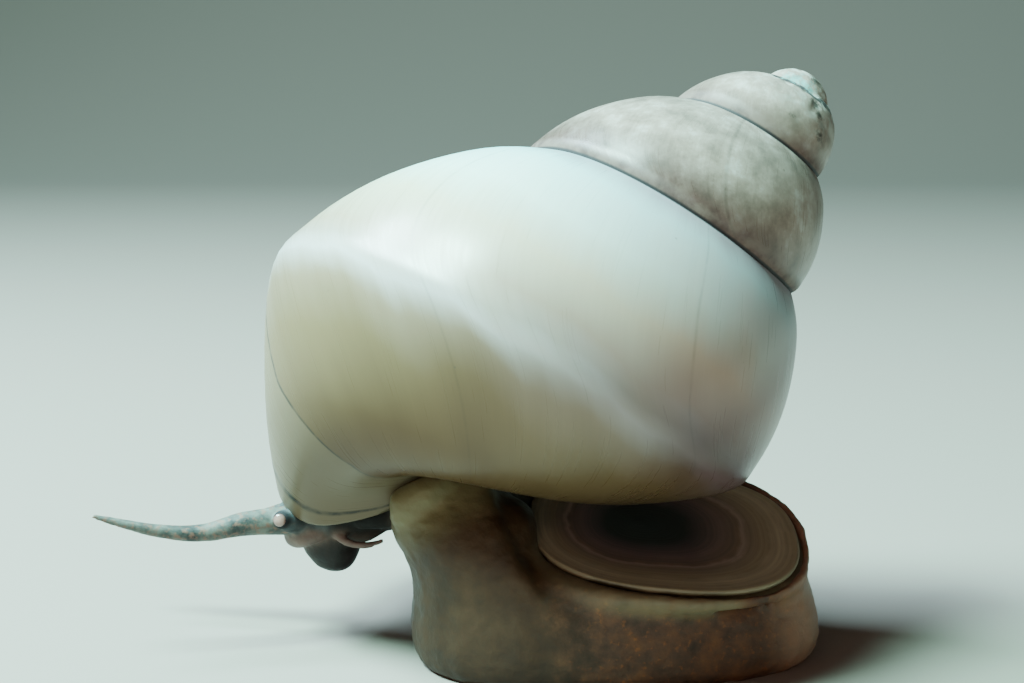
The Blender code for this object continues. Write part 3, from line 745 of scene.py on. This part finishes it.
# ivory above, khaki below, with an uneven border. The ramp also holds painted light and shade: painted shadow
# just below the suture, painted cyan light on the lit upper side, a painted highlight band at 0.585, and
# painted shade that makes the khaki underneath darker than its own colour
border = addNode(look, "Math", timesPlus, {0: clouds, 1: 0.05, 2: around})
colour = addNode(look, "ValToRGB", inputs={"Fac": border}, stops=[
    (0.26, "76868e"), (0.305, "8cb0b8"), (0.345, "9ee2e4"), (0.41, "b9e6de"), (0.465, "c0c3a8"),
    (0.52, "a99c86"), (0.552, "a39c90"), (0.585, "b9bab9"), (0.615, "8f7e68"), (0.65, "776344"),
    (0.705, "5e4a31"), (0.78, "4a3521"), (0.92, "453320")])
# warmer and darker where the last whorl passes under the spire, partly its own mauve tone and partly painted
# shade on the side away from the lamps, with more painted shade low on the tail's side
tailSide = addNode(look, "MapRange", softly, {
    "Value": age, "From Min": shellMarks["tailAges"][0], "From Max": shellMarks["tailAges"][1]})
tailTintAndShade = addNode(look, "ValToRGB", inputs={"Fac": around}, stops=[
    (0.34, "f6b9bb"), (0.40, "deafb0"), (0.45, "d4b0ba"), (0.50, "c8b6cd"), (0.55, "ae9697"),
    (0.68, "9a8789")])
# painted shade: darker low on the tail's side of the last whorl, the side away from the lamps
lean, start, full = shellMarks["paintedShadeSide"]
paintedShadeSide = addNode(look, "Math", timesPlus, {0: age, 1: lean, 2: around})
shade = addNode(look, "MapRange", softly, {"Value": paintedShadeSide, "From Min": start, "From Max": full})
# that painted shade ends where the spire lies on the whorl, and underneath
for value, low, high in ((age, -300.0, -262.0), (around, 0.62, 0.57)):
    shade = addNode(look, "Math", times, {0: shade, 1: addNode(
        look, "MapRange", inputs={"Value": value, "From Min": low, "From Max": high})})
tailTintAndShade = addNode(look, "Mix", darkened, {"Factor": shade, 6: tailTintAndShade, 7: "bca2a6"}, out=2)
colour = addNode(look, "Mix", darkened, {"Factor": tailSide, 6: colour, 7: tailTintAndShade}, out=2)
# the spire has lost most of its skin: greyer, mottled, and mauve below
older = addNode(look, "MapRange", inputs={
    "Value": age, "From Min": shellMarks["spireAges"][0], "From Max": shellMarks["spireAges"][1]})
mottled = addNode(look, "ValToRGB", inputs={"Fac": mottle}, stops=[
    (0.34, "61534c"), (0.45, "7f6f66"), (0.56, "978980"), (0.68, "b4b0ab")])
for share, kind in ((0.8, "8d8177"), (0.7, mottled)):
    colour = addNode(look, "Mix", mixed, {
        "Factor": addNode(look, "Math", times, {0: older, 1: share}), 6: colour, 7: kind}, out=2)
mauve = addNode(look, "Math", times, {0: older, 1: addNode(
    look, "MapRange", softly, {"Value": border, "From Min": 0.45, "From Max": 0.57})})
colour = addNode(look, "Mix", darkened, {"Factor": mauve, 6: colour, 7: "a38a8c"}, out=2)
# the lines of growth are faint on the last whorl and clearer on the spire
streak = addNode(look, "ValToRGB", inputs={"Fac": lines},
                 stops=[(0.34, "6f675a"), (0.47, "808080"), (0.62, "b2afa8")])
colour = addNode(look, "Mix", overlaid, {
    "Factor": addNode(look, "MapRange", inputs={"Value": older, "To Min": 0.05, "To Max": 0.12}),
    6: colour, 7: streak}, out=2)
# newest growth, past the line where the snail once rested, is a little greyer
leaning = addNode(look, "Math", {"operation": "ADD"}, {0: age, 1: addNode(look, "MapRange", inputs={
    "Value": around, "From Min": 0.66, "From Max": 0.76, "To Max": shellMarks["restLean"]})})
newest = addNode(look, "MapRange", inputs={
    "Value": leaning, "From Min": shellMarks["restAge"] - 1.0, "From Max": shellMarks["restAge"] + 1.0,
    "To Max": 0.18})
colour = addNode(look, "Mix", mixed, {"Factor": newest, 6: colour, 7: "8b8470"}, out=2)
# broken dark lines across the growth: the age they are counted in, its value, half width and strength
for counted, lineAge, width, dark in (
        (leaning, shellMarks["restAge"], 1.2, 0.95), (age, shellMarks["rimAge"], 3.0, 1.0),
        (age, -131.0, 0.7, 0.16), (age, -203.0, 0.8, 0.2), (age, -372.0, 1.2, 0.4), (age, -540.0, 1.5, 0.35)):
    wobble = addNode(look, "Math", timesPlus, {0: clouds, 1: 1.6, 2: counted})
    off = addNode(look, "Math", {"operation": "ABSOLUTE"}, {0: addNode(
        look, "Math", {"operation": "SUBTRACT"}, {0: wobble, 1: lineAge + 0.8})})
    share = addNode(look, "MapRange", softly, {
        "Value": off, "From Min": width, "From Max": 0.0, "To Max": dark})
    if lineAge == shellMarks["rimAge"]:         # faint on the far side
        share = addNode(look, "Math", times, {0: share, 1: addNode(look, "MapRange", inputs={
            "Value": around, "From Min": 0.56, "From Max": 0.68, "To Min": 0.3})})
    broken = addNode(look, "Math", times, {0: share, 1: addNode(look, "MapRange", inputs={
        "Value": grain, "From Min": 0.38, "From Max": 0.55, "To Min": 0.5})})
    colour = addNode(look, "Mix", mixed, {"Factor": broken, 6: colour, 7: "1c1712"}, out=2)
# brown stain beside the seams between whorls, and painted shade, nearly black, in the crease where they meet
stain = addNode(look, "MapRange", inputs={
    "Value": crevice, "From Min": shellMarks["stainReach"], "From Max": 0.0, "To Max": 0.75})
for value, low, high, least in ((grain, 0.4, 0.62, 0.0), (around, 0.36, 0.46, 0.25)):
    stain = addNode(look, "Math", times, {0: stain, 1: addNode(look, "MapRange", inputs={
        "Value": value, "From Min": low, "From Max": high, "To Min": least})})
seamShade = addNode(look, "MapRange", softly, {
    "Value": crevice, "From Min": shellMarks["seamReach"][0], "From Max": shellMarks["seamReach"][1],
    "To Max": 0.95})
# small dark specks
cells = addNode(look, "TexVoronoi", {"feature": "F1"},
                {"Vector": place, "Scale": 1 / (shellMarks["speckSpacing"] * mm)}, out="Distance")
speckShare = shellMarks["speckSize"] / shellMarks["speckSpacing"]
speck = addNode(look, "Math", times, {
    0: addNode(look, "MapRange", inputs={
        "Value": cells, "From Min": 1.3 * speckShare, "From Max": 0.6 * speckShare, "To Max": 0.7}),
    1: addNode(look, "MapRange", inputs={"Value": clouds, "From Min": 0.5, "From Max": 0.6})})
# the worn tip: chalky where the skin is gone, and dark where the wear has pitted it
bare, pitted = (addNode(look, "Math", times, {0: wear, 1: addNode(
    look, "MapRange", inputs={"Value": grain, "From Min": low, "From Max": high, "To Max": most})})
    for low, high, most in ((0.5, 0.58, 0.6), (0.42, 0.36, 0.5)))
for share, tint in ((stain, "75635a"), (seamShade, "1d1b20"), (speck, "4e463a"), (bare, "a4aaa4"),
                    (pitted, "6b655a")):
    colour = addNode(look, "Mix", mixed, {"Factor": share, 6: colour, 7: tint}, out=2)
# the chalky spots on the tip are painted teal, a painted cyan highlight on them
for spots, tint in ((shellMarks["chalkAndGlint"], "64a09e"), (shellMarks["dark"], "35322e")):
    for middle, reach in spots:
        away = addNode(look, "VectorMath", {"operation": "DISTANCE"},
                       {0: place, 1: tuple(Vector(middle) * mm)}, out="Value")
        ragged = addNode(look, "Math", timesPlus, {0: crumble, 1: 5.0 * reach * mm, 2: away})
        share = addNode(look, "MapRange", softly, {
            "Value": ragged, "From Min": 3.9 * reach * mm, "From Max": 2.4 * reach * mm, "To Max": 0.9})
        colour = addNode(look, "Mix", mixed, {"Factor": share, 6: colour, 7: tint}, out=2)
# brown inside the mouth
colour = addNode(look, "Mix", mixed, {
    "Factor": addNode(look, "Math", times, {0: inner, 1: 0.85}), 6: colour, 7: "8c7a66"}, out=2)
wire(look, colour, shader, "Base Color")
# gloss changes a little from line to line, and is duller on the worn tip and in the seams
gloss = addNode(look, "MapRange", inputs={"Value": lines, "From Min": 0.3, "From Max": 0.7,
                                          "To Min": 0.26, "To Max": 0.36})
gloss = addNode(look, "Math", timesPlus, {0: wear, 1: 0.3, 2: gloss})
wire(look, addNode(look, "Math", {"operation": "ADD"}, {0: gloss, 1: addNode(
    look, "MapRange", inputs={"Value": crevice, "From Min": 1.0, "From Max": 0.3, "To Max": 0.45})}),
     shader, "Roughness")
# thinner horny skin underneath, so less shine, and less still where the shade is painted low on the tail's
# side
wire(look, addNode(look, "Math", timesPlus, {
    0: addNode(look, "Math", times, {0: shade, 1: tailSide}), 1: -0.15, 2: addNode(
        look, "MapRange", inputs={"Value": around, "From Min": 0.58, "From Max": 0.68,
                                  "To Min": 0.5, "To Max": 0.2})}),
     shader, "Specular IOR Level")
relief = addNode(look, "Math", timesPlus, {
    0: lines, 1: 0.3, 2: addNode(look, "Math", times, {0: grain, 1: wear})})
wire(look, addNode(look, "Bump", inputs={"Strength": 0.05, "Distance": 0.06 * mm, "Height": relief}),
     shader, "Normal")
dress(shell, look)

print("operculum material")
# Operculum: layers of horn laid down ring by ring, wet and dull. Black in the middle, paler outwards.
hornMarks = {
    "ringsAcross": 48.0,            # from the nucleus to the rim
    "patch": 2.6, "paintedTailLight": (7.0, 13.0), "relief": 0.08,     # mm
}
look, shader = newMaterial("Operculum, layered horn", 0.45)
ring = addNode(look, "Attribute", {"attribute_name": "ring"}, out="Fac")
place = addNode(look, "TexCoord", out="Object")
patches = addNode(look, "TexNoise", inputs={
    "Vector": place, "Scale": 1 / (hornMarks["patch"] * mm), "Detail": 3.0})
uneven = addNode(look, "Math", timesPlus, {0: patches, 1: 0.10, 2: addNode(
    look, "Math", {"operation": "SUBTRACT"}, {0: ring, 1: 0.05})})
colour = addNode(look, "ValToRGB", inputs={"Fac": uneven}, stops=[
    (0.0, "0f0c0d"), (0.29, "191210"), (0.36, "45363a"), (0.50, "6c5657"), (0.61, "70594f"),
    (0.635, "9c877e"), (0.67, "7f6e62"), (0.76, "94856f"), (0.86, "aa9d86"), (0.975, "8d806a"),
    (1.0, "3f3526")])
# paler towards the tail: painted light where the shell's shadow keeps the lamps off the plate
paintedTailLight = addNode(look, "MapRange", softly, {
    "Value": addNode(look, "SeparateXYZ", inputs={"Vector": place}, out="X"),
    "From Min": hornMarks["paintedTailLight"][0] * mm, "From Max": hornMarks["paintedTailLight"][1] * mm, "To Max": 0.6})
colour = addNode(look, "Mix", {"data_type": "RGBA", "blend_type": "SCREEN"},
                 {"Factor": paintedTailLight, 6: colour, 7: "716e56"}, out=2)
# growth rings, about 0.2 mm apart
rings = addNode(look, "TexNoise", inputs={"Scale": 1.0, "Detail": 2.0, "Vector": addNode(
    look, "CombineXYZ", inputs={"X": addNode(look, "Math", times, {0: ring, 1: hornMarks["ringsAcross"]}),
                                "Y": addNode(look, "Math", times, {0: patches, 1: 2.0})})})
colour = addNode(look, "Mix", overlaid, {
    "Factor": 0.4, 6: colour, 7: addNode(look, "ValToRGB", inputs={"Fac": rings},
                                         stops=[(0.35, "555250"), (0.65, "a9a6a0")])}, out=2)
wire(look, colour, shader, "Base Color")
wire(look, addNode(look, "Bump", inputs={
    "Strength": 0.3, "Distance": hornMarks["relief"] * mm, "Height": rings}), shader, "Normal")
dress(operculum, look)

print("skin material")
# Snail skin: bare, slimy muscle, mottled by pigment cells under the surface, so soft blotches and dots.
skinMarks = {
    "blotch": 1.9, "dots": 0.42, "relief": 0.12, "depth": 0.4,      # mm
    # where the skin changes or painted shade starts, in mm along the body from left to right, or up from the
    # ground
    "rust": (1.0, 7.0), "tailRim": (12.0, 16.5), "neck": (-20.5, -18.5), "paintedSoleShade": (7.0, 2.0),
}
look, shader = newMaterial("Snail skin, bare wet muscle", 0.5, Subsurface_Weight=0.08,
                           Subsurface_Scale=skinMarks["depth"] * mm, Specular_IOR_Level=0.25)
place = addNode(look, "TexCoord", out="Object")
blotch, dots = (addNode(look, "TexNoise", inputs={
    "Vector": place, "Scale": 1 / (skinMarks[name] * mm), "Detail": detail, "Roughness": rough})
    for name, detail, rough in (("blotch", 5.0, 0.62), ("dots", 2.0, 0.5)))
lengthwise, upright = (addNode(look, "SeparateXYZ", inputs={"Vector": place}, out=axis) for axis in "XZ")
tailward = addNode(look, "Math", timesPlus, {0: blotch, 1: 9 * mm, 2: lengthwise})
rusty, paintedSoleShade, tailRim, neck = (addNode(look, "MapRange", softly, {
    "Value": value, "From Min": skinMarks[name][0] * mm, "From Max": skinMarks[name][1] * mm, "To Max": most})
    for value, name, most in ((tailward, "rust", 1.0), (upright, "paintedSoleShade", 0.8), (lengthwise, "tailRim", 0.6),
                              (lengthwise, "neck", 1.0)))
ember, fleck = (addNode(look, "MapRange", inputs={
    "Value": dots, "From Min": low, "From Max": high, "To Max": most})
    for low, high, most in ((0.6, 0.8, 0.45), (0.5, 0.66, 0.7)))
olive, rust, grey, pale, black, pink = (
    addNode(look, "ValToRGB", inputs={"Fac": blotch}, stops=stops) for stops in (
        [(0.28, "2b1d12"), (0.45, "352417"), (0.58, "3d2a1b"), (0.74, "453021")],
        [(0.32, "35231b"), (0.47, "4e352a"), (0.60, "60402e"), (0.74, "704c34")],
        [(0.30, "25292b"), (0.48, "3c4245"), (0.66, "585d5c")],
        [(0.34, "22272a"), (0.50, "434846"), (0.66, "656963")],
        [(0.3, "0a0707"), (0.7, "1f1616")],
        [(0.3, "4d3c38"), (0.7, "78645d")]))
# rusty dots on the tail, the neck and the mantle nearly black brown, partly painted shade under the shell's
# lip, and brown flecks on the tentacles
rust = addNode(look, "Mix", mixed, {"Factor": ember, 6: rust, 7: "a5622c"}, out=2)
grey = addNode(look, "Mix", mixed, {"Factor": neck, 6: grey, 7: "0d0908"}, out=2)
pale = addNode(look, "Mix", mixed, {"Factor": fleck, 6: pale, 7: "7a5a4e"}, out=2)
# olive turns to rust towards the tail, is darker low on the foot with painted shade, and pale at the thin rim
# of the tail
colour = addNode(look, "Mix", mixed, {"Factor": rusty, 6: olive, 7: rust}, out=2)
colour = addNode(look, "Mix", darkened, {"Factor": paintedSoleShade, 6: colour, 7: "d0c6bc"}, out=2)
colour = addNode(look, "Mix", mixed, {"Factor": tailRim, 6: colour, 7: "a5806c"}, out=2)
# the paler flesh along the operculum's edge is partly painted light in the shadow under its rim
for name, kind in (("lobeLightShare", "6f624c"), ("khakiShare", "5f543a"), ("greyShare", grey),
                   ("tentacleShare", pale), ("snoutShare", black), ("pinkShare", pink),
                   ("eyeRing", "1d1c20"), ("mouth", "0d0c0e")):
    share = addNode(look, "Attribute", {"attribute_name": name}, out="Fac")
    colour = addNode(look, "Mix", mixed, {"Factor": share, 6: colour, 7: kind}, out=2)
wire(look, colour, shader, "Base Color")
wet = addNode(look, "MapRange", inputs={"Value": blotch, "From Min": 0.3, "From Max": 0.7,
                                        "To Min": 0.46, "To Max": 0.62})
wire(look, addNode(look, "Math", {"operation": "MULTIPLY_ADD", "use_clamp": True}, {
    0: addNode(look, "Attribute", {"attribute_name": "greyShare"}, out="Fac"), 1: 0.3, 2: wet}),
     shader, "Roughness")
pimple = addNode(look, "Math", timesPlus, {0: dots, 1: 0.6, 2: blotch})
wire(look, addNode(look, "Bump", inputs={
    "Strength": 0.5, "Distance": skinMarks["relief"] * mm, "Height": pimple}), shader, "Normal")
dress(body, look)

# Eye: a pale cup seen through clear skin, so smooth and shiny, a little darker at its edge.
look, shader = newMaterial("Eye, pale cup under clear skin", 0.12, Coat_Weight=0.5)
place = addNode(look, "TexCoord", out="Object")
side = addNode(look, "Math", {"operation": "ABSOLUTE"}, {0: addNode(look, "Math", {"operation": "SUBTRACT"}, {
    0: addNode(look, "SeparateXYZ", inputs={"Vector": place}, out="Y"), 1: headMiddle * mm})})
outward = addNode(look, "MapRange", inputs={
    "Value": side, "From Min": eyeSizes["centre"][1] * mm,
    "From Max": (eyeSizes["centre"][1] + eyeSizes["radius"]) * mm})
wire(look, addNode(look, "ValToRGB", inputs={"Fac": outward}, stops=[
    (0.0, "3a2c2c"), (0.35, "7d605c"), (0.7, "a8857c"), (1.0, "bd9d95")]), shader, "Base Color")
for eye in eyes:
    dress(eye, look)


print("floor, lights and camera")
stageSizes = {
    "wide": 1.6, "back": 0.75, "curve": 0.3, "height": 0.9,     # m
    "distance": 0.142, "rise": 9, "lens": 70,                   # the camera: m, degrees and mm
    "lookAt": (-5.5, -4.0, 24.2), "ambient": 0.035,
}
looseStart()
bpy.ops.mesh.primitive_plane_add(size=1.0)
floor = bpy.context.object
floor.name = "floor"
floor.scale = (stageSizes["wide"], stageSizes["back"] * 2, 1)
settle(floor)
editMode()
bpy.ops.mesh.select_mode(type="EDGE")
bpy.ops.mesh.select_all(action="DESELECT")
objectMode()
for edge in floor.data.edges:
    edge.select = all(floor.data.vertices[k].co.y > 0.5 * stageSizes["back"] for k in edge.vertices)
editMode()
bpy.ops.mesh.extrude_edges_move(TRANSFORM_OT_translate={"value": (0, 0, stageSizes["height"])})
objectMode()
modify(floor, "BEVEL", width=stageSizes["curve"], segments=24, limit_method="ANGLE")
smooth(floor)
paper, shader = newMaterial("Backdrop paper, matt", 0.9)
shader.inputs["Base Color"].default_value = linear("8c8079")
floor.data.materials.append(paper)

world = bpy.data.worlds.new("studio")
bpy.context.scene.world = world
world.use_nodes = True
backdrop = world.node_tree.nodes["Background"]
backdrop.inputs["Color"].default_value = linear("f0e8de")
backdrop.inputs["Strength"].default_value = stageSizes["ambient"]
lookAt = Vector(stageSizes["lookAt"]) * mm


def softLight(name, angles, away, size, power, tint, roll=0.0):
    # angles: round from the camera's side towards the tail, and up
    looseStart()
    turn, rise = (math.radians(angle) for angle in angles)
    aim = Vector((math.cos(rise) * math.sin(turn), -math.cos(rise) * math.cos(turn), math.sin(rise)))
    bpy.ops.object.light_add(type="AREA", location=lookAt + aim * away)
    lamp = bpy.context.object
    lamp.name = name
    lamp.data.shape = "RECTANGLE"
    lamp.data.size, lamp.data.size_y = size
    lamp.data.energy = power
    lamp.data.color = linear(tint)[:3]
    face = aim.to_track_quat("Z", "Y").to_matrix() @ Matrix.Rotation(math.radians(roll), 3, "Z")
    lamp.rotation_euler = face.to_euler()


softLight("keyLight", (-64, 62), 0.34, (0.12, 0.12), 8.4, "bcfff2")
softLight("sideLight", (-105, 52), 0.36, (0.16, 0.10), 6.2, "c2f0fa")
softLight("stripLight", (8, 26), 0.40, (0.60, 0.03), 0.17, "ffe9d4", roll=-14)
softLight("fillLight", (-18, 7), 0.50, (0.50, 0.18), 0.75, "ffd9c0")

looseStart()
rise = math.radians(stageSizes["rise"])
aim = Vector((0, -math.cos(rise), math.sin(rise)))
bpy.ops.object.camera_add(location=lookAt + aim * stageSizes["distance"])
camera = bpy.context.object
camera.data.lens = stageSizes["lens"]
camera.data.sensor_width = 36
camera.data.clip_start = 0.01
camera.rotation_euler = (lookAt - camera.location).to_track_quat("-Z", "Y").to_euler()
bpy.context.scene.camera = camera
